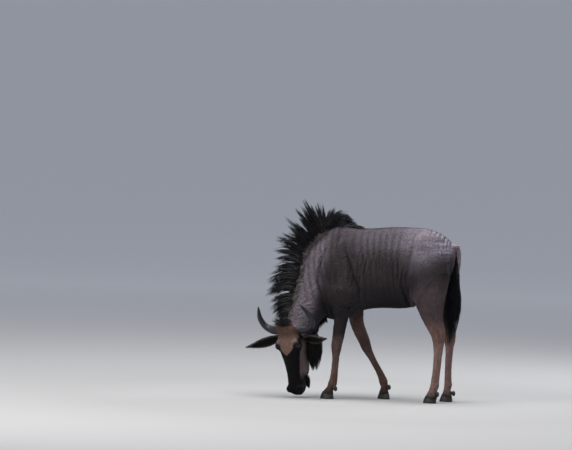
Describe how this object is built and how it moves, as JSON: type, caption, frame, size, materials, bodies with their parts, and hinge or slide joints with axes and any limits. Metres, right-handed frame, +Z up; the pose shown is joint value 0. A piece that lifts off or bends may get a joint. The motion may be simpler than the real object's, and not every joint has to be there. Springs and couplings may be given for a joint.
{
  "type": "wildebeest",
  "caption": "Life-size still model of a young blue wildebeest grazing, head lowered and turned to its left, with mane, beard, curved horns and tail.",
  "frame": {"origin": "middle of the bounding box on the floor, under the belly", "axes": "+Z up; the animal faces -X; its left side is towards -Y"},
  "size_m": [1.482, 0.5437, 1.381],
  "materials": {
    "coat_body": "short grey-brown coat with a faint sheen",
    "coat_leg": "short brown coat",
    "coat_dark": "short black-brown coat",
    "long_hair": "long black hair, slightly glossy",
    "horn": "smooth dark grey horn",
    "hoof": "worn dark horn",
    "eye": "wet dark brown"
  },
  "bodies": {
    "root": {"beard": "long_hair", "chin_hair": "long_hair", "dewclaw_front_left_inner": "hoof", "dewclaw_front_left_outer": "hoof", "dewclaw_front_right_inner": "hoof", "dewclaw_front_right_outer": "hoof", "dewclaw_hind_left_inner": "hoof", "dewclaw_hind_left_outer": "hoof", "dewclaw_hind_right_inner": "hoof", "dewclaw_hind_right_outer": "hoof", "ear_left": "coat_dark", "ear_right": "coat_dark", "eye_left": "eye", "eye_right": "eye", "foreleg_left_lower": "coat_leg", "foreleg_left_upper": "coat_body", "foreleg_right_lower": "coat_leg", "foreleg_right_upper": "coat_body", "head": "coat_dark", "hindleg_left_lower": "coat_leg", "hindleg_left_upper": "coat_body", "hindleg_right_lower": "coat_leg", "hindleg_right_upper": "coat_body", "hoof_front_left_inner": "hoof", "hoof_front_left_outer": "hoof", "hoof_front_right_inner": "hoof", "hoof_front_right_outer": "hoof", "hoof_hind_left_inner": "hoof", "hoof_hind_left_outer": "hoof", "hoof_hind_right_inner": "hoof", "hoof_hind_right_outer": "hoof", "horn_left": "horn", "horn_right": "horn", "mane": "long_hair", "neck": "coat_body", "tail_dock": "coat_leg", "tail_hair": "long_hair", "trunk": "coat_body"}
  },
  "joints": []
}
